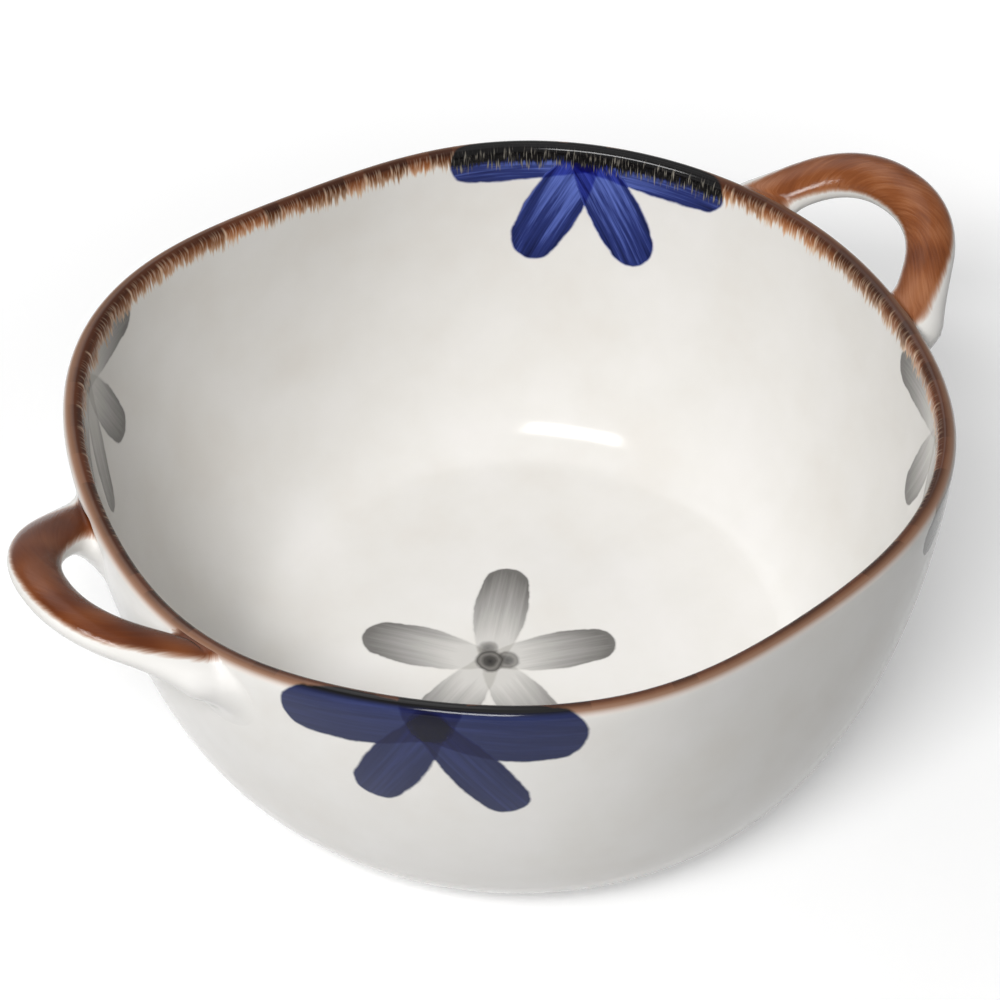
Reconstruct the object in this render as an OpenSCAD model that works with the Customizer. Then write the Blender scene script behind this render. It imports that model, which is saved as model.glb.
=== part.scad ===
// Handled serving bowl in glazed stoneware.
// A hand-formed bowl with a wavy, out-of-round rim stands on a turned foot ring.
// Two flattened strap handles are luted to its wall just below the lip.
// The origin is the centre of the foot on the table, with +Z up and +X toward the right handle.

/* [Bowl body] */
// Mean outside diameter of the rim
rim_d = 220; // [190:1:260]
// Mean height of the lip above the table
rim_h = 97; // [80:1:120]
// Diameter of the flat underside
base_d = 152; // [130:1:168]
// Outward lean of the wall from base to lip, added to the round of the belly
wall_lean = 4.5; // [0:0.5:12]
// Thickness of the wall at the lip, which is rounded over
lip_t = 4.8; // [4:0.1:7]
// Thickness of the wall where it turns into the floor
heel_t = 6; // [4.5:0.5:10]
// Thickness of the floor
floor_t = 6; // [4:0.5:10]

/* [Rim in plan] */
// Shift of the rim's middle off the foot's
rim_shift = 1.8; // [0:0.1:3]
// Direction of that shift, from +X
rim_shift_turn = 133; // [0:1:360]
// Extra reach of the rim toward the handles
two_lobe = 2.4; // [0:0.1:5]
// Depth of the three soft lobes
three_lobe = 1.8; // [0:0.1:3]
// Direction of the first of the three lobes, from +X
three_lobe_turn = 11; // [0:1:120]
// Depth of the four soft corners
four_lobe = 2.6; // [0:0.1:4]
// Direction of the first of the four corners, from +X
four_lobe_turn = 48; // [0:1:90]
// Depth of the six small ripples
six_lobe = 1; // [0:0.1:1.5]
// Direction of the first of the six ripples, from +X
six_lobe_turn = 8; // [0:1:60]

/* [Rim in height] */
// Rise of the rim toward front and back, and its dip over the handles
two_wave = 3.4; // [0:0.1:6]
// Direction of the first of these two crests, from +X
two_wave_turn = 83; // [0:1:180]
// Rise of the three waves along the rim
three_wave = 2.4; // [0:0.1:5]
// Direction of the first of the three crests, from +X
three_wave_turn = 114; // [0:1:120]
// Rise of the four waves along the rim
four_wave = 1.7; // [0:0.1:3]
// Direction of the first of the four crests, from +X
four_wave_turn = 45; // [0:1:90]

/* [Foot ring] */
// Height of the foot ring
foot_h = 4; // [3:0.5:8]
// Width of the foot ring where it joins the underside
foot_w = 8; // [6:0.5:12]
// Margin of the underside that is left free outside the ring
foot_inset = 0.5; // [0.2:0.1:3]
// Amount that each side of the ring draws in toward the table
foot_taper = 0.8; // [0.2:0.1:1.2]
// Bevel of the two edges that meet the table
foot_bevel = 0.8; // [0.4:0.1:1.2]

/* [Handles] */
// Angle that each handle stands round from the X axis, toward the back
handle_turn = 4.4; // [0:0.1:8]
// Distance between the two legs of a handle, from middle to middle of the strap
handle_span = 58; // [50:1:68]
// Stand-out of the strap's middle from the wall, along the slope of the loop
handle_reach = 27; // [22:1:34]
// Upward slope of the loop
handle_tilt = 25; // [0:1:35]
// Roll of the left handle about its own outward line, which lifts its front leg
left_roll = 4.5; // [-6:0.5:6]
// Roll of the right handle about its own outward line, which lifts its back leg
right_roll = 0; // [-6:0.5:6]
// Depth of the strap's middle below the lip where it leaves the wall
handle_drop = 5; // [4.5:0.1:10]
// Width of the strap
strap_w = 13.4; // [10:0.2:16]
// Thickness of the strap
strap_t = 8.8; // [6:0.2:10]
// Squareness of the loop, where 2 is an ellipse
loop_power = 2.2; // [2:0.05:3]
// Length over which a leg swells into the wall
root_length = 16; // [10:1:20]
// Width that a leg gains at the wall
root_gain_w = 3; // [0:0.5:8]
// Thickness that a leg gains at the wall, on its underside
root_gain_t = 4; // [0:0.5:8]
// Sideways spread of each leg at the wall, away from the opening
root_splay = 3; // [0:0.5:5]
// Depth that a leg reaches past the wall's face before it is cut to seat on it
root_seat = 9; // [8:0.5:12]

/* [Hidden] */

rim_r = rim_d / 2;
base_r = base_d / 2;
floor_r = base_r - heel_t;
floor_z = foot_h + floor_t;

glaze_white = [0.92, 0.91, 0.88];
clay_buff = [0.82, 0.77, 0.69];
oxide_brown = [0.49, 0.26, 0.14];

// Steps round the bowl, up each skin of the wall and over the lip
around = 96;
up_steps = 12;
lip_steps = 6;
// Steps along a handle's loop and round its strap
loop_steps = 36;
strap_sides = 20;
// Steps of the wall on each side of a handle, and the first step up it, that its legs are cut to
seat_reach = 12;
seat_start = 5;

// Radius of the rim at angle a
function rim_radius(a) = rim_r
    + rim_shift * cos(a - rim_shift_turn)
    + two_lobe * cos(2 * a)
    + three_lobe * cos(3 * (a - three_lobe_turn))
    + four_lobe * cos(4 * (a - four_lobe_turn))
    + six_lobe * cos(6 * (a - six_lobe_turn));

// Height of the lip at angle a
function rim_height(a) = rim_h
    + two_wave * cos(2 * (a - two_wave_turn))
    + three_wave * cos(3 * (a - three_wave_turn))
    + four_wave * cos(4 * (a - four_wave_turn));

// Point of a wall skin at angle a and share t of the way from its foot to the lip.
// The skin is a quarter ellipse with a straight lean added, and the rim's waves fade in with height.
function skin_point(a, t, foot_radius, foot_z, inset) =
    let (
        up = 1 - cos(90 * t),
        out = sin(90 * t),
        radius = foot_radius + (rim_r - inset - wall_lean - foot_radius) * out + wall_lean * up,
        plan = 1 + (rim_radius(a) / rim_r - 1) * up
    )
    [
        radius * plan * cos(a),
        radius * plan * sin(a),
        foot_z + (rim_height(a) - lip_t / 2 - foot_z) * up
    ];

function outer_point(a, t) = skin_point(a, t, base_r, foot_h, 0);
function inner_point(a, t) = skin_point(a, t, floor_r, floor_z, lip_t);

// Point on the rounded lip at angle a, where s runs from 0 outside to 180 inside
function lip_point(a, s) =
    let (
        outside = outer_point(a, 1),
        inside = inner_point(a, 1),
        middle = (outside + inside) / 2
    )
    middle + (outside - middle) * cos(s) + [0, 0, lip_t / 2 * sin(s)];

function angle_at(step) = 360 * step / around;
function middle_of(points) = [for (p = points) 1] * points / len(points);

// A solid skinned over rings of equal length, with both ends closed to the middles of the end rings.
// The rings turn left about the way they are stacked, or right if clockwise is set.
module loft(rings, clockwise = false) {
    sides = len(rings[0]);
    end_row = (len(rings) - 1) * sides;
    points = [for (r = rings) each r];
    middles = [middle_of(rings[0]), middle_of(rings[len(rings) - 1])];
    skin = [
        for (row = [0 : sides : end_row - sides], j = [0 : sides - 1])
            let (k = (j + 1) % sides)
            each [
                [row + j, row + sides + k, row + k],
                [row + j, row + sides + j, row + sides + k]
            ]
    ];
    caps = [
        for (j = [0 : sides - 1])
            let (k = (j + 1) % sides)
            each [
                [len(points), j, k],
                [len(points) + 1, end_row + k, end_row + j]
            ]
    ];
    faces = [for (f = concat(skin, caps)) clockwise ? [f[2], f[1], f[0]] : f];
    polyhedron(concat(points, middles), faces, convexity = 6);
}

module bowl_body() {
    angles = [for (j = [0 : around - 1]) angle_at(j)];
    outside = [for (i = [0 : up_steps]) [for (a = angles) outer_point(a, i / up_steps)]];
    lip = [for (i = [1 : lip_steps - 1]) [for (a = angles) lip_point(a, 180 * i / lip_steps)]];
    inside = [for (i = [up_steps : -1 : 0]) [for (a = angles) inner_point(a, i / up_steps)]];
    color(glaze_white) loft(concat(outside, lip, inside));
}

module foot_ring() {
    outer_r = base_r - foot_inset;
    inner_r = outer_r - foot_w;
    color(clay_buff)
        rotate_extrude($fn = around)
            polygon([
                [inner_r, foot_h],
                [inner_r + foot_taper, foot_bevel],
                [inner_r + foot_taper + foot_bevel, 0],
                [outer_r - foot_taper - foot_bevel, 0],
                [outer_r - foot_taper, foot_bevel],
                [outer_r, foot_h]
            ]);
}

// Share of a leg's swelling at a distance out from the wall
function root_swell(out) = pow(max(0, 1 - max(0, out) / root_length), 2);

// Middle line of a handle in the plane of its loop, where s runs from -90 to 90 along it.
// It gives the distance out from the wall and the distance to the side.
function loop_point(s) =
    let (
        out = (handle_reach + root_seat) * pow(cos(s), 2 / loop_power) - root_seat,
        side = handle_span / 2 * pow(abs(sin(s)), 2 / loop_power)
    )
    [out, sign(s) * (side + root_splay * root_swell(out))];

// Oval section of the strap at s, tilted with the loop and thickened on its underside near the wall
function strap_section(s) =
    let (
        middle = loop_point(s),
        along = loop_point(min(s + 1, 90)) - loop_point(max(s - 1, -90)),
        across = [along.y, -along.x] / norm(along),
        swell = root_swell(middle.x),
        half_w = (strap_w + root_gain_w * swell) / 2,
        half_t = (strap_t + root_gain_t * swell) / 2,
        sag = root_gain_t * swell / 2
    )
    [
        for (j = [0 : strap_sides - 1])
            let (
                turn = 360 * j / strap_sides,
                flat = middle + across * half_w * cos(turn),
                lift = half_t * sin(turn) - sag
            )
            [
                flat.x * cos(handle_tilt) - lift * sin(handle_tilt),
                flat.y,
                flat.x * sin(handle_tilt) + lift * cos(handle_tilt)
            ]
    ];

// Wall of the bowl about angle a, with the same facets as the body, filled in toward the axis
module wall_block(a) {
    first = round(a * around / 360) - seat_reach;
    slices = [
        for (j = [first : first + 2 * seat_reach])
            let (
                b = angle_at(j),
                outside = [for (i = [seat_start : up_steps]) outer_point(b, i / up_steps)],
                crest = [for (i = [1 : lip_steps / 2]) lip_point(b, 180 * i / lip_steps)],
                core = [base_r * cos(b), base_r * sin(b), 0],
                top = [0, 0, crest[len(crest) - 1].z],
                bottom = [0, 0, outside[0].z]
            )
            concat(outside, crest, [core + top, core + bottom])
    ];
    loft(slices, clockwise = true);
}

// A handle at angle a, rolled about its outward line, with its two legs cut to the wall
module handle(a, roll) {
    chord = sqrt(pow(rim_radius(a), 2) - pow(handle_span / 2, 2));
    sections = [for (i = [0 : loop_steps]) strap_section(180 * i / loop_steps - 90)];
    color(oxide_brown)
        difference() {
            rotate(a)
                translate([chord, 0, rim_height(a) - handle_drop])
                    rotate([roll, 0, 0]) loft(sections, clockwise = true);
            wall_block(a);
        }
}

module left_handle() handle(180 - handle_turn, left_roll);
module right_handle() handle(handle_turn, right_roll);

bowl_body();
foot_ring();
left_handle();
right_handle();
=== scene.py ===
import math

import bmesh
import bpy
from bpy.props import FloatProperty, IntProperty, PointerProperty
from bpy.types import Operator, Panel, PropertyGroup
from mathutils import Matrix, Vector


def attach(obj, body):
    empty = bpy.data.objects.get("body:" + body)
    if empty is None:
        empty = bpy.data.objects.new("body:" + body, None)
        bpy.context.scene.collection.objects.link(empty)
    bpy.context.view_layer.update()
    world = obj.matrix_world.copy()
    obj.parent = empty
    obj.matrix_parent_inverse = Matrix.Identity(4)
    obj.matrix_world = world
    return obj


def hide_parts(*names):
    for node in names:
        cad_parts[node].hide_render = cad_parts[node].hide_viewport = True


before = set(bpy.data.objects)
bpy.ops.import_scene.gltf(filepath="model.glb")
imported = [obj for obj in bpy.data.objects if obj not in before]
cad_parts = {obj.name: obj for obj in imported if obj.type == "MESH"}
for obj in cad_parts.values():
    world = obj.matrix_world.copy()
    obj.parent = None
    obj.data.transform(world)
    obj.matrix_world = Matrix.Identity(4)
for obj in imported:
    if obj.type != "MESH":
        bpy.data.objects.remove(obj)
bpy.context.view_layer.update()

bl_info = {
    "name": "Handled serving bowl",
    "version": (1, 0, 0),
    "blender": (4, 5, 0),
    "location": "View3D > Sidebar > Serving bowl",
    "description": "Hand-formed stoneware bowl with a brushed rim, brush flowers and two strap handles",
    "category": "Object",
}

MM = 0.001

# Lobes of the rim in plan and waves of the rim in height:
# count round the rim, size in mm and direction of the first crest from +X in degrees
RIM_LOBES = ((1, 1.8, 133), (2, 2.4, 0), (3, 1.8, 11), (4, 2.6, 48), (6, 1.0, 8))
RIM_WAVES = ((2, 3.4, 83), (3, 2.4, 114), (4, 1.7, 45))

# Paints of the brush flowers: tones from dark to light, strength of the hair streaks,
# tones at the base and at the tip of a petal, and the tint that each further layer adds
PAINTS = {
    "blue_streaks": (("#10173F", "#28336E", "#5A6CB8"), 1.25, (0.68, 0.42), "#8E94D4"),
    "blue_wash": (("#151A3C", "#232A4F", "#353E71"), 0.5, (0.55, 0.5), "#8C92C8"),
    "grey_wash": (("#6C6A67", "#9C9A97", "#C6C4C0"), 0.32, (0.88, 0.18), "#E6E5E3"),
}
# Flowers on the wall: paint, direction from +X in degrees, depth of the middle past the lip in mm,
# half width of a petal at its base as a share of its width, and petals.
# A petal is given by its turn from the way round the rim in degrees, its length and its width in mm.
# One at 90 points down the inside, and one at -90 down the outside.
WALL_FLOWERS = (
    ("blue_streaks", 45.5, 4.5, 0.28,
     ((-90, 34, 14), (2, 39, 14), (178, 41, 14), (60.5, 36, 16), (121, 35, 16))),
    ("blue_wash", -135.5, -6.5, 0.28,
     ((90, 34, 20), (183.5, 38, 17), (-4, 36, 19), (-120, 34, 15), (-56, 36, 14))),
    ("grey_wash", 139, 5, 0.2,
     ((-90, 34, 14), (2, 39, 14), (178, 29, 13), (60.5, 33, 13), (112, 29, 12))),
    ("grey_wash", -38, 5, 0.2,
     ((-75, 34, 14), (8, 40, 13), (-155, 41, 14), (68, 35, 13), (121, 35, 14))),
)
# Flower on the floor: middle in mm, petals by their turn from +X in degrees, and the dabs of its eye,
# by their place and size in mm and the strength of their ring
FLOOR_MIDDLE = (-9.5, 0.0)
FLOOR_PETALS = ((202, 36, 15), (-94, 36, 15), (129, 36, 15), (-22, 34.7, 14), (47, 36, 15))
FLOOR_EYE = ((2.2, 4.4, 3.0, 0.4), (3.9, -2.4, 3.5, 0.7), (0.0, 0.0, 4.2, 1.0))

# Lamps: name, azimuth from +X and elevation in degrees, distance, width and height in m, and power in W
SOFTBOXES = (
    ("softbox_front_left", (-146, 49), 1.3, (0.62, 0.28), 17.5),
    ("softbox_left", (-176, 10), 1.5, (1.0, 0.5), 1.3),
    ("softbox_back", (80, 50), 1.7, (1.0, 1.0), 5.6),
    ("softbox_top", (0, 89), 1.7, (1.0, 1.0), 2.7),
)
# Distances from the bowl's middle between which the floor goes over to plain white
FLOOR_FADE = (0.17, 0.5)

# Paddle of a petal: share of its width by which its spine ends short of its tip,
# and angle in radians that its half width swings through, widest at a quarter turn
PADDLE_SHORT = 0.43
PADDLE_SWING = 2.26

# A strap's root: skirts past its fillets and the sunk ring that closes it under the glaze,
# distance from the wall over which the paint feels the root, and share of the skirts' reach that they dip
SKIRTS = (0.8 * MM, 2 * MM)
SUNK = 0.8 * MM
ROOT_FADE = 26 * MM
SKIRT_DIP = 0.2
# End of a loop, just short of a quarter turn from its middle, so that a cosine stays above 0
LOOP_END = math.pi / 2 - 1e-6
# Halvings of a search along a loop, and rounds of a move onto the wall
HALVINGS = 26
SEATINGS = 6
# Points that lie this close are one
WELD = 0.001 * MM
# Rings of the mesh across the floor
FLOOR_RINGS = 6


class BowlShape(PropertyGroup):
    """Sizes of the shell and of the ring that it stands on"""

    rim_d: FloatProperty(
        name="Rim diameter", description="Mean outside diameter of the rim", default=220 * MM, unit="LENGTH"
    )
    rim_h: FloatProperty(
        name="Rim height", description="Mean height of the lip above the table",
        default=97 * MM, unit="LENGTH",
    )
    base_d: FloatProperty(
        name="Base diameter", description="Diameter of the flat underside", default=152 * MM, unit="LENGTH"
    )
    wall_lean: FloatProperty(
        name="Wall lean", description="Outward lean of the wall from base to lip",
        default=4.5 * MM, unit="LENGTH",
    )
    lip_t: FloatProperty(
        name="Lip thickness", description="Thickness of the wall at the rounded lip",
        default=4.8 * MM, unit="LENGTH",
    )
    heel_t: FloatProperty(
        name="Heel thickness", description="Thickness where wall turns into floor",
        default=6 * MM, unit="LENGTH",
    )
    floor_t: FloatProperty(
        name="Floor thickness", description="Thickness of the floor", default=6 * MM, unit="LENGTH"
    )
    foot_h: FloatProperty(
        name="Foot height", description="Height of the foot ring", default=4 * MM, unit="LENGTH"
    )
    foot_w: FloatProperty(
        name="Foot width", description="Width of the foot ring at the underside",
        default=8 * MM, unit="LENGTH",
    )
    foot_inset: FloatProperty(
        name="Foot inset", description="Underside left free outside the ring",
        default=0.5 * MM, unit="LENGTH",
    )
    foot_taper: FloatProperty(
        name="Foot taper", description="Draw-in of each side of the ring", default=0.8 * MM, unit="LENGTH"
    )
    foot_round: FloatProperty(
        name="Foot rounding", description="Rounding of the ring's edges at the table",
        default=1.1 * MM, unit="LENGTH",
    )
    around: IntProperty(name="Steps round", description="Steps of the mesh round the bowl", default=288)
    wall_steps: IntProperty(
        name="Steps up the wall", description="Steps of the mesh up each skin",
        default=44,
    )
    lip_steps: IntProperty(
        name="Steps over the lip", description="Steps of the mesh over the lip",
        default=14,
    )


class HandleShape(PropertyGroup):
    """Sizes of the two strap handles"""

    turn: FloatProperty(
        name="Turn", description="Angle of each handle round from the X axis, toward the back",
        default=math.radians(4.4), subtype="ANGLE",
    )
    left_roll: FloatProperty(
        name="Left roll", description="Roll of the left handle about its outward line",
        default=math.radians(4.5), subtype="ANGLE",
    )
    right_roll: FloatProperty(
        name="Right roll", description="Roll of the right handle about its outward line",
        default=0.0, subtype="ANGLE",
    )
    span: FloatProperty(
        name="Span", description="Distance between the middles of the two legs",
        default=58 * MM, unit="LENGTH",
    )
    reach: FloatProperty(
        name="Reach", description="Stand-out of the strap's middle from the wall",
        default=27 * MM, unit="LENGTH",
    )
    tilt: FloatProperty(
        name="Tilt", description="Upward slope of the loop", default=math.radians(25), subtype="ANGLE"
    )
    drop: FloatProperty(
        name="Drop", description="Depth of the strap's middle below the lip", default=5 * MM, unit="LENGTH"
    )
    strap_w: FloatProperty(
        name="Strap width", description="Width of the strap", default=13.4 * MM, unit="LENGTH"
    )
    strap_t: FloatProperty(
        name="Strap thickness", description="Thickness of the strap", default=8.8 * MM, unit="LENGTH"
    )
    loop_power: FloatProperty(
        name="Squareness", description="Squareness of the loop, where 2 is an ellipse", default=2.2
    )
    root_length: FloatProperty(
        name="Root length", description="Length over which a leg swells", default=16 * MM, unit="LENGTH"
    )
    root_gain_w: FloatProperty(
        name="Root width gain", description="Width that a leg gains at the wall",
        default=3 * MM, unit="LENGTH",
    )
    root_gain_t: FloatProperty(
        name="Root thickness gain", description="Thickness gained at the wall",
        default=4 * MM, unit="LENGTH",
    )
    root_splay: FloatProperty(
        name="Root splay", description="Sideways spread of a leg at the wall", default=3 * MM, unit="LENGTH"
    )
    root_seat: FloatProperty(
        name="Root seat", description="Depth of a leg past the wall's face", default=9 * MM, unit="LENGTH"
    )
    fillet_top: FloatProperty(
        name="Upper fillet", description="Fillet between strap and wall at the lip",
        default=1.2 * MM, unit="LENGTH",
    )
    fillet_side: FloatProperty(
        name="Side fillet", description="Fillet between strap and wall at the sides",
        default=5 * MM, unit="LENGTH",
    )
    fillet_under: FloatProperty(
        name="Lower fillet", description="Fillet between strap and wall underneath",
        default=9 * MM, unit="LENGTH",
    )
    loop_steps: IntProperty(name="Steps along", description="Steps of the mesh along a loop", default=90)
    sides: IntProperty(name="Steps round", description="Steps of the mesh round the strap", default=44)
    fillet_steps: IntProperty(name="Fillet steps", description="Steps of the mesh over a fillet", default=9)


class StageLook(PropertyGroup):
    """Camera, floor and lamps"""

    azimuth: FloatProperty(
        name="Camera azimuth", description="Direction of the camera round the bowl, from the front",
        default=math.radians(-35), subtype="ANGLE",
    )
    elevation: FloatProperty(
        name="Camera elevation", description="Height of the camera above the horizon",
        default=math.radians(43.94), subtype="ANGLE",
    )
    distance: FloatProperty(
        name="Camera distance", description="Distance from the bowl's middle", default=0.9, unit="LENGTH"
    )
    lens: FloatProperty(name="Lens", description="Focal length in mm", default=123.6)
    aim_height: FloatProperty(
        name="Aim height", description="Height of the bowl's middle", default=50 * MM, unit="LENGTH"
    )
    aim_left: FloatProperty(
        name="Aim left", description="Aim to the left of the middle", default=5.24 * MM, unit="LENGTH"
    )
    aim_up: FloatProperty(
        name="Aim up", description="Aim above the middle in the picture", default=10.5 * MM, unit="LENGTH"
    )
    floor_size: FloatProperty(
        name="Floor size", description="Side of the floor",
        default=8.0, unit="LENGTH",
    )
    ambient: FloatProperty(name="Ambient", description="Strength of the even light", default=0.06)
    floor_lift: FloatProperty(
        name="Floor lift", description="Light added to the floor near the bowl, where it is seen",
        default=0.4,
    )


def linear(code):
    """A colour for a shader socket from its sRGB hex code."""
    channels = [int(code[i:i + 2], 16) / 255 for i in (1, 3, 5)]
    return [c / 12.92 if c <= 0.04045 else ((c + 0.055) / 1.055) ** 2.4 for c in channels] + [1.0]


def node(tree, kind, inputs=None, out=0, stops=(), **settings):
    """Adds a shader node, sets it, links or fills its inputs, and gives one of its outputs.

    Its kind is written without "ShaderNode".
    Stops of a colour ramp are a place, a hex code and perhaps an alpha.
    """
    made = tree.nodes.new(kind if kind.startswith("NodeGroup") else "ShaderNode" + kind)
    for name, value in settings.items():
        setattr(made, name, value)
    for key, value in (inputs or {}).items():
        if isinstance(value, bpy.types.NodeSocket):
            tree.links.new(value, made.inputs[key])
        else:
            made.inputs[key].default_value = value
    if stops:
        band = made.color_ramp.elements
        while len(band) < len(stops):
            band.new(1.0)
        for element, (place, code, *alpha) in zip(band, stops):
            element.position = place
            element.color = linear(code)[:3] + (alpha or [1.0])
    return made.outputs[out] if made.outputs else None


def new_material(name):
    """A node material without nodes, and its tree."""
    material = bpy.data.materials.new(name)
    material.use_nodes = True
    material.node_tree.nodes.clear()
    return material, material.node_tree


def in_view(tree):
    """1 for a ray that shows the background: from the camera, a reflection or through glass."""
    path = node(tree, "LightPath").node.outputs
    mirrored = node(tree, "Math", {0: path["Is Camera Ray"], 1: path["Is Glossy Ray"]}, operation="MAXIMUM")
    return node(tree, "Math", {0: mirrored, 1: path["Is Transmission Ray"]}, operation="MAXIMUM")


def finish_glaze(tree, colour, height, depth, roughness, shine):
    """Closes a glaze tree with a glossy shader whose relief is depth metres deep.

    Its shine is kept low, so that the white surround doesn't wash out the paint.
    """
    bump = node(tree, "Bump", {"Height": height, "Strength": 1.0, "Distance": depth})
    shader = node(
        tree, "BsdfPrincipled",
        {
            "Base Color": colour, "Roughness": roughness, "IOR": 1.52, "Specular IOR Level": shine,
            "Normal": bump,
        },
    )
    node(tree, "OutputMaterial", {"Surface": shader})


def petal_group():
    """One brush stroke of a flower: a paddle, narrow at the middle of the flower and round at its tip.

    It adds itself to the count of strokes at a place, and hands on the place within the last stroke.
    """
    tree = bpy.data.node_groups.new("brush_petal", "ShaderNodeTree")
    for name, kind in (
        ("Place", "NodeSocketVector"), ("Middle", "NodeSocketVector"), ("Turn", "NodeSocketFloat"),
        ("Length", "NodeSocketFloat"), ("Width", "NodeSocketFloat"), ("Base", "NodeSocketFloat"),
        ("Edge", "NodeSocketFloat"), ("Strokes", "NodeSocketFloat"), ("Within", "NodeSocketVector"),
    ):
        tree.interface.new_socket(name, in_out="INPUT", socket_type=kind)
    tree.interface.new_socket("Strokes", in_out="OUTPUT", socket_type="NodeSocketFloat")
    tree.interface.new_socket("Within", in_out="OUTPUT", socket_type="NodeSocketVector")
    given = node(tree, "NodeGroupInput").node.outputs

    offset = node(tree, "VectorMath", {0: given["Place"], 1: given["Middle"]}, operation="SUBTRACT")
    back = node(tree, "Math", {0: given["Turn"], 1: -1.0}, operation="MULTIPLY")
    local = node(tree, "VectorRotate", {"Vector": offset, "Angle": back}, rotation_type="Z_AXIS")
    along = node(tree, "SeparateXYZ", {0: local})
    across = along.node.outputs["Y"]
    spine = node(
        tree, "Math", {0: given["Width"], 1: -PADDLE_SHORT, 2: given["Length"]}, operation="MULTIPLY_ADD"
    )
    share = node(tree, "Math", {0: along, 1: spine}, operation="DIVIDE", use_clamp=True)
    nearest = node(tree, "Math", {0: share, 1: spine}, operation="MULTIPLY")
    past = node(tree, "Math", {0: along, 1: nearest}, operation="SUBTRACT")
    gap = node(tree, "CombineXYZ", {0: past, 1: across})
    far = node(tree, "VectorMath", {0: gap}, out="Value", operation="LENGTH")
    swing = node(tree, "Math", {0: share, 1: PADDLE_SWING}, operation="MULTIPLY")
    fullness = node(tree, "Math", {0: swing}, operation="SINE")
    room = node(tree, "Math", {0: 0.5, 1: given["Base"]}, operation="SUBTRACT")
    half = node(tree, "Math", {0: fullness, 1: room, 2: given["Base"]}, operation="MULTIPLY_ADD")
    radius = node(tree, "Math", {0: half, 1: given["Width"]}, operation="MULTIPLY")
    outside = node(tree, "Math", {0: far, 1: radius}, operation="SUBTRACT")
    ragged = node(tree, "Math", {0: outside, 1: given["Edge"]}, operation="ADD")
    mask = node(
        tree, "MapRange", {"Value": ragged, "From Min": 0.4, "From Max": -0.5},
        interpolation_type="SMOOTHSTEP",
    )
    strokes = node(tree, "Math", {0: given["Strokes"], 1: mask}, operation="ADD")
    length_share = node(tree, "Math", {0: along, 1: given["Length"]}, operation="DIVIDE")
    width_share = node(tree, "Math", {0: across, 1: given["Width"]}, operation="DIVIDE")
    inner = node(tree, "CombineXYZ", {0: length_share, 1: width_share, 2: given["Turn"]})
    within = node(tree, "Mix", {"Factor": mask, 4: given["Within"], 5: inner}, out=1, data_type="VECTOR")
    node(tree, "NodeGroupOutput", {"Strokes": strokes, "Within": within})
    return tree


def paint_petals(tree, group, place, edge, middle, petals, base, state):
    """Chains the strokes of one flower onto the state of those before it."""
    for turn, length, width in petals:
        inputs = {
            "Place": place, "Middle": (middle[0], middle[1], 0.0),
            "Turn": math.radians(turn), "Length": length,
            "Width": width, "Base": base, "Edge": edge, "Strokes": state[0], "Within": state[1],
        }
        outputs = node(tree, "Group", inputs, node_tree=group).node.outputs
        state = (outputs["Strokes"], outputs["Within"])
    return state


def brush_colour(tree, state, paint):
    """Colour of brush strokes: hair streaks, a tone from base to tip, darker edges and deeper overlaps."""
    tones, hair_share, (base_tone, tip_tone), overlap = PAINTS[paint]
    strokes, within = state
    stretched = node(tree, "VectorMath", {0: within, 1: (1.2, 11.0, 9.0)}, operation="MULTIPLY")
    hairs = node(tree, "TexNoise", {"Vector": stretched, "Scale": 1.0, "Detail": 4.0, "Roughness": 0.62})
    length_share = node(tree, "SeparateXYZ", {0: within})
    width_share = node(tree, "Math", {0: length_share.node.outputs["Y"]}, operation="ABSOLUTE")
    tip = node(
        tree, "MapRange",
        {"Value": length_share, "From Min": 0.15, "From Max": 1.0, "To Min": base_tone, "To Max": tip_tone},
    )
    pool = node(tree, "MapRange", {"Value": width_share, "From Min": 0.2, "From Max": 0.5, "To Max": -0.14})
    shade = node(tree, "Math", {0: tip, 1: pool}, operation="ADD")
    swing = node(tree, "Math", {0: hairs, 1: 0.5}, operation="SUBTRACT")
    tone = node(tree, "Math", {0: swing, 1: hair_share, 2: shade}, operation="MULTIPLY_ADD")
    colour = node(tree, "ValToRGB", {"Fac": tone}, stops=list(zip((0.22, 0.5, 0.8), tones)))
    over = node(tree, "Math", {0: strokes, 1: 1.0}, operation="SUBTRACT")
    extra = node(tree, "Math", {0: over, 1: 0.0}, operation="MAXIMUM")
    deepening = node(tree, "Gamma", {"Color": linear(overlap), "Gamma": extra})
    return node(
        tree, "Mix", {"Factor": 1.0, 6: colour, 7: deepening},
        out=2, data_type="RGBA", blend_type="MULTIPLY",
    )


def paint_eye(tree, floor, edge, colour):
    """Charcoal eye of the floor's flower: dabs with a dark dot in a paler ring, over the colour below."""
    for x, y, size, ring in FLOOR_EYE:
        middle = (FLOOR_MIDDLE[0] + x, FLOOR_MIDDLE[1] + y, 0.0)
        offset = node(tree, "VectorMath", {0: floor, 1: middle}, operation="SUBTRACT")
        far = node(tree, "VectorMath", {0: offset}, out="Value", operation="LENGTH")
        ragged = node(tree, "Math", {0: edge, 1: 1.6, 2: far}, operation="MULTIPLY_ADD")
        share = node(tree, "Math", {0: ragged, 1: size * 1.4}, operation="DIVIDE", use_clamp=True)
        gap = 0.55 + 0.3 * ring
        dab = node(
            tree, "ValToRGB", {"Fac": share},
            stops=(
                (0.0, "#1D1A18", 0.6 + 0.4 * ring), (0.28, "#2B2826", gap), (0.45, "#6F6C68", gap),
                (0.58, "#3A3734", 0.9 * ring), (0.75, "#6E6B67", 0),
            ),
        )
        colour = node(
            tree, "Mix", {"Factor": dab.node.outputs["Alpha"], 6: colour, 7: dab}, out=2, data_type="RGBA"
        )
    return colour


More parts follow.
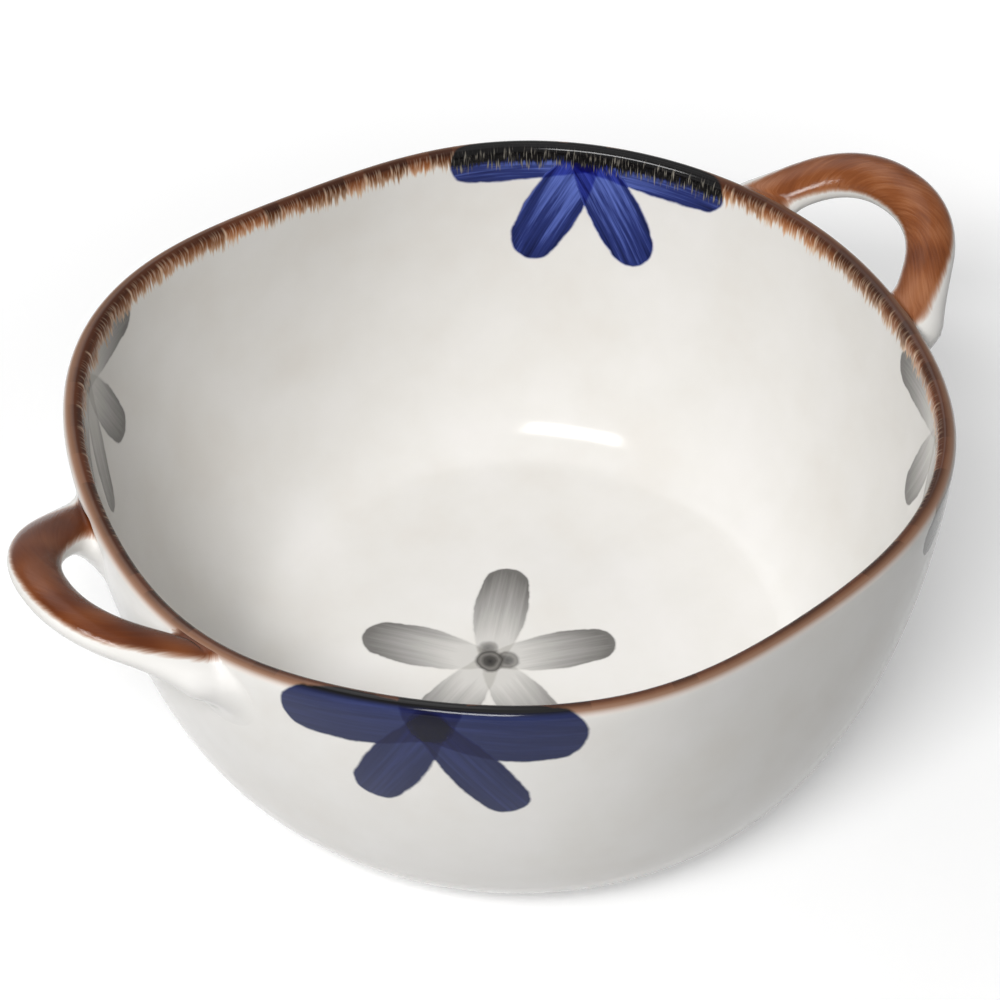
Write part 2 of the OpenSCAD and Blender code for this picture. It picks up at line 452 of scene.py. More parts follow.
def rim_oxide(tree, arc, path, on_blue):
    """Colour and cover of the iron oxide on the rim.

    It lies smooth over the lip, darkest at the crest.
    It is dragged down the inside in ragged hairs with pale tips.
    """
    lean = node(tree, "Math", {0: path, 1: 0.02, 2: arc}, operation="MULTIPLY_ADD")
    drag = node(tree, "Math", {0: path, 1: 0.1}, operation="MULTIPLY")
    hair_place = node(tree, "CombineXYZ", {0: lean, 1: drag})
    # Hairs about 1 mm apart, scratches half as wide, and loads of the brush about 9 mm apart
    fine = node(
        tree, "TexNoise", {"Vector": hair_place, "Scale": 1 / 0.95, "Detail": 2.0, "Roughness": 0.7}
    )
    straight = node(tree, "CombineXYZ", {0: arc, 1: drag})
    scratch = node(tree, "TexNoise", {"Vector": straight, "Scale": 1 / 0.5, "Detail": 1.0})
    slow = node(tree, "TexNoise", {"Vector": hair_place, "Scale": 1 / 9, "Detail": 1.0})
    fine_end = node(tree, "Math", {0: fine, 1: 10.0, 2: -0.9}, operation="MULTIPLY_ADD")
    brown_end = node(tree, "Math", {0: slow, 1: 5.5, 2: fine_end}, operation="MULTIPLY_ADD")
    scratch_end = node(tree, "Math", {0: scratch, 1: 7.0, 2: 2.2}, operation="MULTIPLY_ADD")
    black_end = node(tree, "Math", {0: slow, 1: 3.0, 2: scratch_end}, operation="MULTIPLY_ADD")
    inner_end = node(tree, "Mix", {"Factor": on_blue, 2: brown_end, 3: black_end})
    to_end = node(tree, "Math", {0: inner_end, 1: path}, operation="SUBTRACT")
    inside_cover = node(
        tree, "MapRange", {"Value": to_end, "From Min": -0.5, "From Max": 1.8},
        interpolation_type="SMOOTHSTEP",
    )
    # The thin outer edge of the oxide does not show over blue
    faint_from = node(tree, "Math", {0: on_blue, 1: 1.6, 2: -4.0}, operation="MULTIPLY_ADD")
    full_from = node(tree, "Math", {0: on_blue, 1: 0.5, 2: -1.4}, operation="MULTIPLY_ADD")
    outside_cover = node(
        tree, "MapRange", {"Value": path, "From Min": faint_from, "From Max": full_from},
        interpolation_type="SMOOTHSTEP",
    )
    cover = node(tree, "Math", {0: inside_cover, 1: outside_cover}, operation="MULTIPLY")
    load = node(tree, "MapRange", {"Value": path, "From Min": -5.0, "From Max": 10.0})
    oxide = node(
        tree, "ValToRGB", {"Fac": load},
        stops=(
            (0.0, "#CFC2B7"), (0.15, "#B6A092"), (0.23, "#8E6F5C"), (0.29, "#72503C"), (0.36, "#4A2817"),
            (0.46, "#43210F"), (0.56, "#784729"), (0.66, "#996743"), (0.8, "#B98F6D"), (1.0, "#C9AC93"),
        ),
    )
    # Each dab of the brush, about 7 mm long, has its own strength, and pale lines part some of them
    dab_place = node(tree, "Math", {0: lean, 1: 1 / 7}, operation="MULTIPLY")
    dab = node(tree, "TexVoronoi", {"W": dab_place, "Scale": 1.0}, out="Color", voronoi_dimensions="1D")
    seam = node(
        tree, "TexVoronoi", {"W": dab_place, "Scale": 1.0},
        voronoi_dimensions="1D", feature="DISTANCE_TO_EDGE",
    )
    seam_line = node(
        tree, "MapRange", {"Value": seam, "From Min": 0.01, "From Max": 0.07, "To Min": 1.0, "To Max": 0.0}
    )
    seam_some = node(tree, "MapRange", {"Value": slow, "From Min": 0.44, "From Max": 0.54, "To Max": 0.7})
    seam_pale = node(tree, "Math", {0: seam_line, 1: seam_some}, operation="MULTIPLY")
    tip_pale = node(tree, "MapRange", {"Value": to_end, "From Min": 3.0, "From Max": 0.2, "To Max": 0.7})
    scratch_line = node(tree, "MapRange", {"Value": scratch, "From Min": 0.5, "From Max": 0.72})
    scratch_pale = node(tree, "Math", {0: scratch_line, 1: 0.5, 2: tip_pale}, operation="MULTIPLY_ADD")
    all_pale = node(tree, "Math", {0: scratch_pale, 1: seam_pale}, operation="ADD", use_clamp=True)
    inside_share = node(tree, "MapRange", {"Value": path, "From Min": 0.8, "From Max": 3.2})
    pale = node(tree, "Math", {0: all_pale, 1: inside_share}, operation="MULTIPLY")
    crest_share = node(tree, "MapRange", {"Value": path, "From Min": -1.5, "From Max": 1.5})
    dab_gain = node(
        tree, "MapRange", {"Value": dab, "From Min": 0.25, "From Max": 0.75, "To Min": 0.6, "To Max": 1.45}
    )
    dabs = node(
        tree, "Mix", {"Factor": crest_share, 6: oxide, 7: dab_gain},
        out=2, data_type="RGBA", blend_type="MULTIPLY",
    )
    brown = node(tree, "Mix", {"Factor": pale, 6: dabs, 7: linear("#D3B79C")}, out=2, data_type="RGBA")
    # Over blue the oxide turns black, with grey scratches along the hairs
    scratched = node(tree, "Math", {0: scratch_line, 1: inside_share}, operation="MULTIPLY")
    black = node(
        tree, "ValToRGB", {"Fac": scratched}, stops=((0.0, "#0B0A0B"), (0.25, "#1C1A1A"), (1.0, "#8A857B"))
    )
    colour = node(tree, "Mix", {"Factor": on_blue, 6: brown, 7: black}, out=2, data_type="RGBA")
    return colour, cover


def glaze_white(tree, place):
    """Milky glaze: a warm white that clouds a little over the clay, in patches about 25 mm across."""
    clouds = node(tree, "TexNoise", {"Vector": place, "Scale": 1 / 25, "Detail": 3.0, "Roughness": 0.55})
    return node(
        tree, "ValToRGB", {"Fac": clouds}, stops=((0.3, "#DAD7D2"), (0.5, "#DDDBD7"), (0.72, "#E0DEDB"))
    )


def bowl_glaze(shape):
    """Glazed stoneware: glossy white glaze, with iron oxide dragged over the lip, and brush flowers.

    The eye sees a warm white shine, short brown hatching at the rim, and streaked blue and grey petals.
    """
    material, tree = new_material("glazed_stoneware_brush_flowers")
    rim_mm = shape.rim_d / 2 / MM
    at = node(tree, "TexCoord", out="Object")
    spot = node(tree, "VectorMath", {0: at, "Scale": 1 / MM}, operation="SCALE")
    split = node(tree, "SeparateXYZ", {0: spot})
    x, y = split, split.node.outputs["Y"]
    path = node(tree, "Attribute", out="Fac", attribute_name="rim_path")
    angle = node(tree, "Math", {0: y, 1: x}, operation="ARCTAN2")
    arc = node(tree, "Math", {0: angle, 1: rim_mm}, operation="MULTIPLY")
    wall = node(tree, "CombineXYZ", {0: arc, 1: path})
    # The floor's flower is kept off the underside by moving the outside far away.
    outside = node(tree, "Math", {0: path, 1: 0.0}, operation="LESS_THAN")
    away = node(tree, "Math", {0: outside, 1: 1000.0, 2: x}, operation="MULTIPLY_ADD")
    floor = node(tree, "CombineXYZ", {0: away, 1: y})

    wobble = node(tree, "TexNoise", {"Vector": spot, "Scale": 1 / 4, "Detail": 2.0})
    edge = node(tree, "Math", {0: wobble, 1: 1.1, 2: -0.55}, operation="MULTIPLY_ADD")
    group = petal_group()
    blank = (node(tree, "Value"), node(tree, "CombineXYZ"))
    blank[0].default_value = 0.0
    on_blue = blank[0]
    colour = glaze_white(tree, spot)
    flowers = [("grey_wash", floor, FLOOR_MIDDLE, 0.2, FLOOR_PETALS)]
    for paint, turn, depth, base, petals in WALL_FLOWERS:
        flowers.append((paint, wall, (math.radians(turn) * rim_mm, depth), base, petals))
    for paint, place, middle, base, petals in flowers:
        state = paint_petals(tree, group, place, edge, middle, petals, base, blank)
        cover = node(tree, "Math", {0: state[0], 1: 1.0}, operation="MINIMUM")
        colour = node(
            tree, "Mix", {"Factor": cover, 6: colour, 7: brush_colour(tree, state, paint)},
            out=2, data_type="RGBA",
        )
        if paint != "grey_wash":
            on_blue = node(tree, "Math", {0: on_blue, 1: cover}, operation="MAXIMUM")
    colour = paint_eye(tree, floor, edge, colour)
    oxide, rim_cover = rim_oxide(tree, arc, path, on_blue)
    colour = node(tree, "Mix", {"Factor": rim_cover, 6: colour, 7: oxide}, out=2, data_type="RGBA")

    # Hand-formed walls are not quite even, so highlights bend over swellings about 30 mm across
    swellings = node(tree, "TexNoise", {"Vector": spot, "Scale": 1 / 30, "Detail": 2.0})
    relief = node(tree, "Math", {0: rim_cover, 1: 0.12, 2: swellings}, operation="MULTIPLY_ADD")
    finish_glaze(tree, colour, relief, depth=0.18 * MM, roughness=0.13, shine=0.15)
    return material


def strap_glaze():
    """Iron oxide brushed over white glaze on the straps.

    The eye sees streaked brown on top, fading through tan to white underneath.
    """
    material, tree = new_material("iron_oxide_brushed_glaze")
    at = node(tree, "TexCoord", out="Object")
    spot = node(tree, "VectorMath", {0: at, "Scale": 1 / MM}, operation="SCALE")
    strap = node(tree, "Attribute", out="Vector", attribute_name="strap_place")
    split = node(tree, "SeparateXYZ", {0: strap})
    along, up, side = split, split.node.outputs["Y"], split.node.outputs["Z"]
    root = node(tree, "Attribute", out="Fac", attribute_name="root_share")

    # Hairs of the brush leave fine streaks, slanted across the strap
    slant = node(tree, "Math", {0: along, 1: 0.5}, operation="MULTIPLY")
    crossing = node(tree, "Math", {0: side, 1: 9.0, 2: slant}, operation="MULTIPLY_ADD")
    hair_run = node(tree, "Math", {0: along, 1: 0.06}, operation="MULTIPLY")
    hair_lift = node(tree, "Math", {0: up, 1: 1.5}, operation="MULTIPLY")
    hair_place = node(tree, "CombineXYZ", {0: hair_run, 1: crossing, 2: hair_lift})
    hairs = node(tree, "TexNoise", {"Vector": hair_place, "Scale": 1.0, "Detail": 4.0, "Roughness": 0.65})
    patches = node(tree, "TexNoise", {"Vector": spot, "Scale": 1 / 14, "Detail": 1.0})
    # The left strap took more oxide than the right one, and shows fewer streaks
    place_x = node(tree, "SeparateXYZ", {0: spot})
    streaks = node(
        tree, "MapRange",
        {"Value": place_x, "From Min": -90.0, "From Max": 90.0, "To Min": 0.1, "To Max": 0.28},
    )
    level = node(
        tree, "MapRange",
        {"Value": place_x, "From Min": -90.0, "From Max": 90.0, "To Min": 0.25, "To Max": 0.38},
    )
    swing = node(tree, "Math", {0: hairs, 1: 0.5}, operation="SUBTRACT")
    streaked = node(tree, "Math", {0: swing, 1: streaks, 2: level}, operation="MULTIPLY_ADD")
    tone = node(tree, "Math", {0: patches, 1: 0.42, 2: streaked}, operation="MULTIPLY_ADD")
    brown = node(
        tree, "ValToRGB", {"Fac": tone},
        stops=((0.3, "#3A1605"), (0.46, "#5E2C0D"), (0.6, "#7F4621"), (0.8, "#AD7550")),
    )

    # The paint ends higher on the outer side of the loop than inside it, and narrows at the roots
    tilted = node(tree, "Math", {0: side, 1: 0.03, 2: up}, operation="MULTIPLY_ADD")
    root_pull = node(tree, "Math", {0: root, 1: 1.5}, operation="POWER")
    outer = node(tree, "Math", {0: side, 1: 0.0}, operation="MAXIMUM")
    outer_pull = node(tree, "Math", {0: outer, 1: -0.8, 2: -0.3}, operation="MULTIPLY_ADD")
    rooted = node(tree, "Math", {0: root_pull, 1: outer_pull, 2: tilted}, operation="MULTIPLY_ADD")
    wobble = node(tree, "Math", {0: hairs, 1: 0.24, 2: rooted}, operation="MULTIPLY_ADD")
    cover = node(
        tree, "MapRange", {"Value": wobble, "From Min": 0.24, "From Max": 0.6},
        interpolation_type="SMOOTHSTEP",
    )
    white = glaze_white(tree, spot)
    thin = node(tree, "Math", {0: cover, 1: 0.55}, operation="POWER")
    tan = node(tree, "Mix", {"Factor": thin, 6: white, 7: linear("#B98B69")}, out=2, data_type="RGBA")
    colour = node(tree, "Mix", {"Factor": cover, 6: tan, 7: brown}, out=2, data_type="RGBA")
    relief = node(tree, "Math", {0: hairs, 1: cover}, operation="MULTIPLY")
    finish_glaze(tree, colour, relief, depth=0.12 * MM, roughness=0.14, shine=0.17)
    return material


def foot_glaze():
    """Glazed foot, wiped bare where it meets the table.

    The eye sees white glaze above, and buff gritty clay on the lowest millimetre.
    """
    material, tree = new_material("wiped_stoneware_foot")
    at = node(tree, "TexCoord", out="Object")
    spot = node(tree, "VectorMath", {0: at, "Scale": 1 / MM}, operation="SCALE")
    height = node(tree, "SeparateXYZ", {0: spot}, out="Z")
    grit = node(tree, "TexNoise", {"Vector": spot, "Scale": 1 / 0.8, "Detail": 3.0})
    clay = node(
        tree, "ValToRGB", {"Fac": grit}, stops=((0.35, "#A98F70"), (0.55, "#C4AE90"), (0.75, "#D3C2A8"))
    )
    wiped = node(tree, "Math", {0: grit, 1: 0.8, 2: height}, operation="MULTIPLY_ADD")
    glazed = node(
        tree, "MapRange", {"Value": wiped, "From Min": 1.1, "From Max": 1.6},
        interpolation_type="SMOOTHSTEP",
    )
    colour = node(
        tree, "Mix", {"Factor": glazed, 6: clay, 7: glaze_white(tree, spot)}, out=2, data_type="RGBA"
    )
    roughness = node(tree, "MapRange", {"Value": glazed, "To Min": 0.75, "To Max": 0.15})
    finish_glaze(tree, colour, grit, depth=0.05 * MM, roughness=roughness, shine=0.15)
    return material


def ripple(terms, angle):
    """Sum of the rim's lobes or waves at an angle, in metres."""
    return sum(size * MM * math.cos(count * (angle - math.radians(turn))) for count, size, turn in terms)


def skin_point(shape, share, inside):
    """Radius, height and rise of a plain wall skin at a share of the way from its foot to the lip."""
    foot_r = shape.base_d / 2 - (shape.heel_t if inside else 0)
    foot_z = shape.foot_h + (shape.floor_t if inside else 0)
    top_r = shape.rim_d / 2 - (shape.lip_t if inside else 0)
    rise = 1 - math.cos(share * math.pi / 2)
    out = math.sin(share * math.pi / 2)
    radius = foot_r + (top_r - shape.wall_lean - foot_r) * out + shape.wall_lean * rise
    return radius, foot_z + (shape.rim_h - shape.lip_t / 2 - foot_z) * rise, rise


def bowl_profile(shape):
    """Half section of the plain bowl, from the middle of its underside over the lip to that of its floor.

    It also gives the index of the crest of the lip.
    """
    steps = [i / shape.wall_steps for i in range(shape.wall_steps + 1)]
    outside = [skin_point(shape, s, False) for s in steps]
    inside = [skin_point(shape, s, True) for s in reversed(steps)]
    middle_r = (outside[-1][0] + inside[0][0]) / 2
    top = outside[-1][1]
    half = shape.lip_t / 2
    turns = [math.pi * i / shape.lip_steps for i in range(1, shape.lip_steps)]
    lip = [(middle_r + half * math.cos(s), top + half * math.sin(s), 1.0) for s in turns]
    spokes = [i / FLOOR_RINGS for i in range(FLOOR_RINGS)]
    under = [(outside[0][0] * s, outside[0][1], 0.0) for s in spokes]
    floor = [(inside[-1][0] * s, inside[-1][1], 0.0) for s in reversed(spokes)]
    return under + outside + lip + inside + floor, len(under) + len(outside) + shape.lip_steps // 2 - 1


def rim_radius(shape, angle):
    """Radius of the rim at an angle."""
    return shape.rim_d / 2 + ripple(RIM_LOBES, angle)


def rim_height(shape, angle):
    """Height of the lip's crest at an angle."""
    return shape.rim_h + ripple(RIM_WAVES, angle)


def wall_clearance(shape, point):
    """Distance of a point out from the bowl's outer wall or its rounded lip."""
    angle = math.atan2(point.y, point.x)
    radius = math.hypot(point.x, point.y)
    top = rim_height(shape, angle) - shape.lip_t / 2
    edge = rim_radius(shape, angle)
    if point.z >= top:
        middle = edge - shape.lip_t / 2
        return math.hypot(max(radius - middle, 0), point.z - top) - shape.lip_t / 2
    rise = (point.z - shape.foot_h) / (top - shape.foot_h)
    out = math.sqrt(1 - (1 - rise) ** 2)
    foot_r = shape.base_d / 2
    plain = foot_r + (shape.rim_d / 2 - shape.wall_lean - foot_r) * out + shape.wall_lean * rise
    return radius - plain * (1 + (edge / (shape.rim_d / 2) - 1) * rise)


def strap_point(handle, along, turn):
    """Point of a strap in its own frame, and the middle of the strap there.

    It is given by an angle along the loop and a turn round the section.
    """
    def middle(angle):
        power = 2 / handle.loop_power
        out = (handle.reach + handle.root_seat) * math.cos(angle) ** power - handle.root_seat
        side = handle.span / 2 * abs(math.sin(angle)) ** power
        swell = max(0, 1 - max(0, out) / handle.root_length) ** 2
        return Vector((out, math.copysign(side + handle.root_splay * swell, angle))), swell

    small = math.radians(1)
    place, swell = middle(along)
    way = middle(min(along + small, LOOP_END))[0] - middle(max(along - small, -LOOP_END))[0]
    across = Vector((way.y, -way.x)).normalized()
    half_w = (handle.strap_w + handle.root_gain_w * swell) / 2
    half_t = (handle.strap_t + handle.root_gain_t * swell) / 2
    flat = place + across * half_w * math.cos(turn)
    lift = half_t * math.sin(turn) - handle.root_gain_t * swell / 2
    tilt = Matrix.Rotation(-handle.tilt, 3, "Y")
    return tilt @ Vector((flat.x, flat.y, lift)), tilt @ Vector((place.x, place.y, 0))


class StrapOnWall:
    """One handle placed on the bowl: where its skin lines run, and how they spread onto the wall."""

    def __init__(self, shape, handle, angle, roll):
        self.shape = shape
        self.handle = handle
        chord = math.sqrt(rim_radius(shape, angle) ** 2 - (handle.span / 2) ** 2)
        self.place = (
            Matrix.Rotation(angle, 4, "Z")
            @ Matrix.Translation((chord, 0, rim_height(shape, angle) - handle.drop))
            @ Matrix.Rotation(roll, 4, "X")
        )

    def point(self, along, turn):
        """Point of the strap's skin on the bowl."""
        return self.place @ strap_point(self.handle, along, turn)[0]

    def find(self, leg, turn, clearance):
        """Angle along the loop at which a skin line comes within a distance of the wall, on one leg."""
        near, far = 0.0, LOOP_END
        for _ in range(HALVINGS):
            middle = (near + far) / 2
            if wall_clearance(self.shape, self.point(leg * middle, turn)) > clearance:
                near = middle
            else:
                far = middle
        return leg * near

    def fillet(self, turn):
        """Fillet radius of a skin line at the wall, small under the lip and large underneath."""
        handle = self.handle
        lift = math.sin(turn)
        other = handle.fillet_top if lift > 0 else handle.fillet_under
        return handle.fillet_side + (other - handle.fillet_side) * abs(lift) ** 1.5

    def spread(self, leg, turn, bend, past=0.0):
        """Point on a fillet, where bend runs from 0 on the strap to 90 degrees on the wall.

        A skirt past the fillet dips gently under the glaze of the wall.
        """
        radius = self.fillet(turn)
        clearance = radius * (1 - math.sin(bend)) - SKIRT_DIP * past
        along = self.find(leg, turn, clearance)
        skin, middle = (self.place @ p for p in strap_point(self.handle, along, turn))
        outward = Vector((skin.x, skin.y, 0)).normalized()
        side = skin - middle
        side -= outward * side.dot(outward)
        spot = skin + side.normalized() * (radius * (1 - math.cos(bend)) + past)
        return self.seat(spot, clearance)

    def seat(self, spot, clearance):
        """Moves a point until it is a distance off the wall, and keeps it below the lip's crest."""
        crest = rim_height(self.shape, math.atan2(spot.y, spot.x))
        half = self.shape.lip_t / 2
        spot.z = min(spot.z, crest - 0.3 * MM, crest - half + (half + clearance) * 0.8)
        for _ in range(SEATINGS):
            outward = Vector((spot.x, spot.y, 0)).normalized()
            spot += outward * (clearance - wall_clearance(self.shape, spot))
        return spot


def link_piece(name, bm, material):
    """Makes a smooth object of a finished bmesh, at the origin, with one material."""
    mesh = bpy.data.meshes.new(name)
    bm.to_mesh(mesh)
    bm.free()
    mesh.polygons.foreach_set("use_smooth", [True] * len(mesh.polygons))
    mesh.materials.append(material)
    piece = bpy.data.objects.new(name, mesh)
    bpy.context.scene.collection.objects.link(piece)
    return piece


class OBJECT_OT_form_bowl_body(Operator):
    """Spin the bowl's section and pull its rim out of round and level"""

    bl_idname = "object.form_bowl_body"
    bl_label = "Form bowl body"

    def execute(self, context):
        shape = context.scene.bowl_shape
        profile, crest = bowl_profile(shape)
        bm = bmesh.new()
        rise = bm.verts.layers.float.new("rise")
        path = bm.verts.layers.float.new("rim_path")
        chain = [bm.verts.new((radius, 0, z)) for radius, z, _ in profile]
        edges = [bm.edges.new(pair) for pair in zip(chain, chain[1:])]
        run = 0.0
        runs = [0.0]
        for edge in edges:
            run += edge.calc_length()
            runs.append(run)
        for vert, (_, _, share), run in zip(chain, profile, runs):
            vert[rise] = share
            vert[path] = (run - runs[crest]) / MM
        bmesh.ops.spin(
            bm, geom=chain + edges, cent=(0, 0, 0), axis=(0, 0, 1), dvec=(0, 0, 0),
            angle=math.tau, steps=shape.around, use_merge=True,
        )
        bmesh.ops.remove_doubles(bm, verts=bm.verts, dist=WELD)
        for vert in bm.verts:
            angle = math.atan2(vert.co.y, vert.co.x)
            plan = 1 + ripple(RIM_LOBES, angle) / (shape.rim_d / 2) * vert[rise]
            lift = ripple(RIM_WAVES, angle) * vert[rise]
            vert.co = (vert.co.x * plan, vert.co.y * plan, vert.co.z + lift)
        bmesh.ops.recalc_face_normals(bm, faces=bm.faces)
        piece = link_piece("bowl_shell", bm, bowl_glaze(shape))
        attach(piece, "root")
        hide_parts("bowl_body")
        return {"FINISHED"}


class OBJECT_OT_turn_foot_ring(Operator):
    """Spin the foot ring and round the edges that meet the table"""

    bl_idname = "object.turn_foot_ring"
    bl_label = "Turn foot ring"

    def execute(self, context):
        shape = context.scene.bowl_shape
        outer = shape.base_d / 2 - shape.foot_inset
        inner = outer - shape.foot_w
        bm = bmesh.new()
        corners = [
            bm.verts.new((inner, 0, shape.foot_h)),
            bm.verts.new((inner + shape.foot_taper, 0, 0)),
            bm.verts.new((outer - shape.foot_taper, 0, 0)),
            bm.verts.new((outer, 0, shape.foot_h)),
        ]
        edges = [bm.edges.new((a, b)) for a, b in zip(corners, corners[1:] + corners[:1])]
        bmesh.ops.spin(
            bm, geom=corners + edges, cent=(0, 0, 0), axis=(0, 0, 1), dvec=(0, 0, 0),
            angle=math.tau, steps=shape.around, use_merge=True,
        )
        bmesh.ops.remove_doubles(bm, verts=bm.verts, dist=WELD)
        bmesh.ops.recalc_face_normals(bm, faces=bm.faces)
        sharp = [e for e in bm.edges if e.calc_face_angle(0) > 0.5]
        low = [e for e in sharp if max(v.co.z for v in e.verts) < shape.foot_h / 2]
        bmesh.ops.bevel(
            bm, geom=low, offset=shape.foot_round, affect="EDGES", segments=5, profile=0.5, material=-1
        )
        piece = link_piece("foot_rim", bm, foot_glaze())
        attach(piece, "root")
        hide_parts("foot_ring")
        return {"FINISHED"}


class OBJECT_OT_pull_strap_handles(Operator):
    """Extrude the two straps along their loops and spread their roots onto the wall"""

    bl_idname = "object.pull_strap_handles"
    bl_label = "Pull strap handles"

    def execute(self, context):
        shape = context.scene.bowl_shape
        handle = context.scene.bowl_handles
        material = strap_glaze()
        for name, node_name, angle, roll in (
            ("strap_left", "left_handle", math.pi - handle.turn, handle.left_roll),
            ("strap_right", "right_handle", handle.turn, handle.right_roll),
        ):
            strap = StrapOnWall(shape, handle, angle, roll)
            piece = link_piece(name, self.strap_mesh(shape, handle, strap), material)
            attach(piece, "root")
            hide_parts(node_name)
        return {"FINISHED"}

    @staticmethod
    def strap_mesh(shape, handle, strap):
        """A strap from wall to wall: a ring that is extruded along the loop and closed inside the wall."""
        turns = [math.tau * i / handle.sides for i in range(handle.sides)]
        bends = [math.pi / 2 * i / handle.fillet_steps for i in range(1, handle.fillet_steps + 1)]
        starts = [strap.find(-1, t, strap.fillet(t)) for t in turns]
        ends = [strap.find(1, t, strap.fillet(t)) for t in turns]
        rings = []
        for i in range(handle.loop_steps + 1):
            share = i / handle.loop_steps
            rings.append([strap.point(a + (b - a) * share, t) for a, b, t in zip(starts, ends, turns)])
        skirts = [(bend, 0.0) for bend in bends] + [(math.pi / 2, past) for past in SKIRTS]
        front = [[strap.spread(-1, t, *skirt) for t in turns] for skirt in reversed(skirts)]
        back = [[strap.spread(1, t, *skirt) for t in turns] for skirt in skirts]
        sunk = [[strap.seat(p.copy(), -SUNK) for p in ring] for ring in (front[0], back[-1])]
        rings = sunk[:1] + front + rings + back + sunk[1:]

        bm = bmesh.new()
        place = bm.verts.layers.float_vector.new("strap_place")
        root = bm.verts.layers.float.new("root_share")
        ring_verts = bmesh.ops.create_circle(bm, segments=handle.sides, radius=handle.strap_w)["verts"]
        ring_edges = list({e for v in ring_verts for e in v.link_edges})
        bmesh.ops.contextual_create(bm, geom=ring_edges)
        along = 0.0
        for i, ring in enumerate(rings):
            if i:
                made = bmesh.ops.extrude_edge_only(bm, edges=ring_edges)["geom"]
                fresh = {g for g in made if isinstance(g, bmesh.types.BMVert)}
                ring_edges = [
                    g for g in made
                    if isinstance(g, bmesh.types.BMEdge) and all(v in fresh for v in g.verts)
                ]
                ring_verts = [
                    next(e.other_vert(v) for e in v.link_edges if e.other_vert(v) in fresh)
                    for v in ring_verts
                ]
                along += (ring[0] - rings[i - 1][0]).length / MM
            for vert, spot, turn in zip(ring_verts, ring, turns):
                vert.co = spot
                vert[place] = (along, math.sin(turn), math.cos(turn))
                vert[root] = max(0.0, 1 - wall_clearance(shape, spot) / ROOT_FADE)
        bmesh.ops.contextual_create(bm, geom=ring_edges)
        bmesh.ops.recalc_face_normals(bm, faces=bm.faces)
        return bm


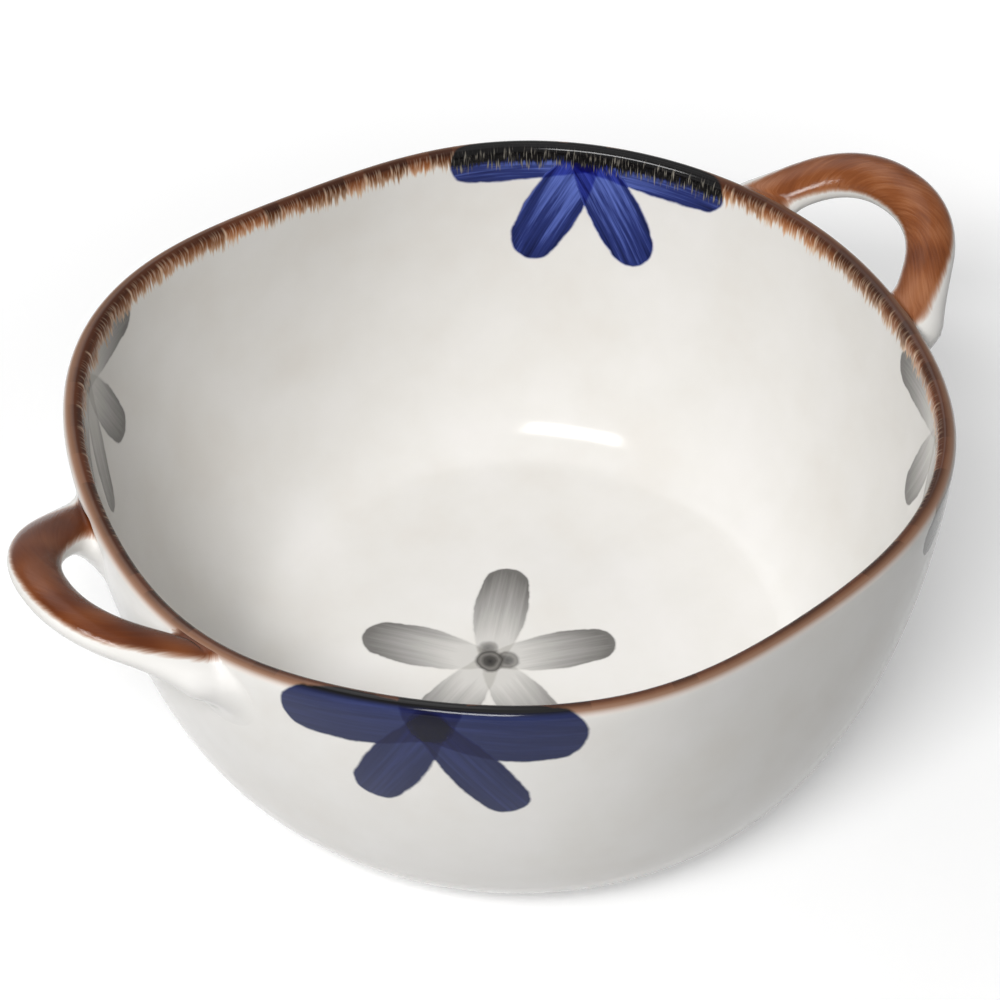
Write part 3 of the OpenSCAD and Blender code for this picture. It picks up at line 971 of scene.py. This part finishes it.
class SCENE_OT_set_bowl_stage(Operator):
    """Lay the pale floor, hang the softboxes and place the camera"""

    bl_idname = "scene.set_bowl_stage"
    bl_label = "Set studio stage"

    def execute(self, context):
        look = context.scene.bowl_stage
        self.lay_floor(look)
        self.light_world(look)
        for softbox in SOFTBOXES:
            self.hang_softbox(look, *softbox)
        self.place_camera(look)
        context.scene.view_settings.view_transform = "Standard"
        return {"FINISHED"}

    @staticmethod
    def lay_floor(look):
        """A matt white floor, lifted where it is seen, and more so far off, so that only shadow shows."""
        material, tree = new_material("matt_white_floor")
        matt = node(tree, "BsdfDiffuse", {"Color": linear("#CCCCCC")})
        at = node(tree, "TexCoord", out="Object")
        far = node(tree, "VectorMath", {0: at}, out="Value", operation="LENGTH")
        glow_share = node(
            tree, "MapRange",
            {
                "Value": far, "From Min": FLOOR_FADE[0], "From Max": FLOOR_FADE[1],
                "To Min": look.floor_lift, "To Max": 1.0,
            },
            interpolation_type="SMOOTHSTEP",
        )
        lift = node(tree, "Math", {0: in_view(tree), 1: glow_share}, operation="MULTIPLY")
        glow = node(tree, "Emission", {"Strength": lift})
        both = node(tree, "AddShader", {0: matt, 1: glow})
        node(tree, "OutputMaterial", {"Surface": both})
        bm = bmesh.new()
        bmesh.ops.create_grid(bm, x_segments=8, y_segments=8, size=look.floor_size / 2)
        link_piece("studio_floor", bm, material)

    @staticmethod
    def light_world(look):
        """Even white light from all round, with a white background where it is seen."""
        world = bpy.data.worlds.new("studio_world")
        bpy.context.scene.world = world
        world.use_nodes = True
        tree = world.node_tree
        tree.nodes.clear()
        strength = node(tree, "MapRange", {"Value": in_view(tree), "To Min": look.ambient, "To Max": 1.0})
        background = node(tree, "Background", {"Strength": strength})
        node(tree, "OutputWorld", {"Surface": background})

    @staticmethod
    def hang_softbox(look, name, direction, distance, size, power):
        """A rectangular lamp that faces the bowl from an azimuth and an elevation in degrees."""
        azimuth, elevation = (math.radians(d) for d in direction)
        lamp = bpy.data.lights.new(name, "AREA")
        lamp.shape = "RECTANGLE"
        lamp.size, lamp.size_y = size
        lamp.energy = power
        holder = bpy.data.objects.new(name, lamp)
        bpy.context.scene.collection.objects.link(holder)
        toward = Vector((
            math.cos(elevation) * math.cos(azimuth),
            math.cos(elevation) * math.sin(azimuth),
            math.sin(elevation),
        ))
        holder.location = Vector((0, 0, look.aim_height)) + toward * distance
        holder.rotation_euler = (-toward).to_track_quat("-Z", "Y").to_euler()

    @staticmethod
    def place_camera(look):
        """A long lens at the photograph's angle, aimed a little up and left of the bowl's middle."""
        camera = bpy.data.objects.new("photo_camera", bpy.data.cameras.new("photo_camera"))
        bpy.context.scene.collection.objects.link(camera)
        turn = Matrix.Rotation(look.azimuth, 3, "Z")
        back = turn @ Vector((0, -math.cos(look.elevation), math.sin(look.elevation)))
        right = turn @ Vector((1, 0, 0))
        up = back.cross(right)
        middle = Vector((0, 0, look.aim_height))
        camera.location = middle + back * look.distance
        aim = middle - right * look.aim_left + up * look.aim_up
        camera.rotation_euler = (aim - camera.location).to_track_quat("-Z", "Y").to_euler()
        camera.data.lens = look.lens
        bpy.context.scene.camera = camera


class VIEW3D_PT_serving_bowl(Panel):
    """Sizes of the bowl and the steps that make it"""

    bl_label = "Serving bowl"
    bl_idname = "VIEW3D_PT_serving_bowl"
    bl_space_type = "VIEW_3D"
    bl_region_type = "UI"
    bl_category = "Serving bowl"

    def draw(self, context):
        layout = self.layout
        for group in (context.scene.bowl_shape, context.scene.bowl_handles, context.scene.bowl_stage):
            column = layout.column(align=True)
            for name in group.__annotations__:
                column.prop(group, name)
        for step in STEPS:
            layout.operator(step.bl_idname)


GROUPS = (("bowl_shape", BowlShape), ("bowl_handles", HandleShape), ("bowl_stage", StageLook))
STEPS = (
    OBJECT_OT_form_bowl_body, OBJECT_OT_turn_foot_ring, OBJECT_OT_pull_strap_handles,
    SCENE_OT_set_bowl_stage,
)


def register():
    for name, group in GROUPS:
        bpy.utils.register_class(group)
        setattr(bpy.types.Scene, name, PointerProperty(type=group))
    for made in (*STEPS, VIEW3D_PT_serving_bowl):
        bpy.utils.register_class(made)


def unregister():
    for made in (VIEW3D_PT_serving_bowl, *reversed(STEPS)):
        bpy.utils.unregister_class(made)
    for name, group in reversed(GROUPS):
        delattr(bpy.types.Scene, name)
        bpy.utils.unregister_class(group)


def main():
    register()
    bpy.ops.object.form_bowl_body()
    bpy.ops.object.turn_foot_ring()
    bpy.ops.object.pull_strap_handles()
    bpy.ops.scene.set_bowl_stage()


if __name__ == "__main__":
    main()
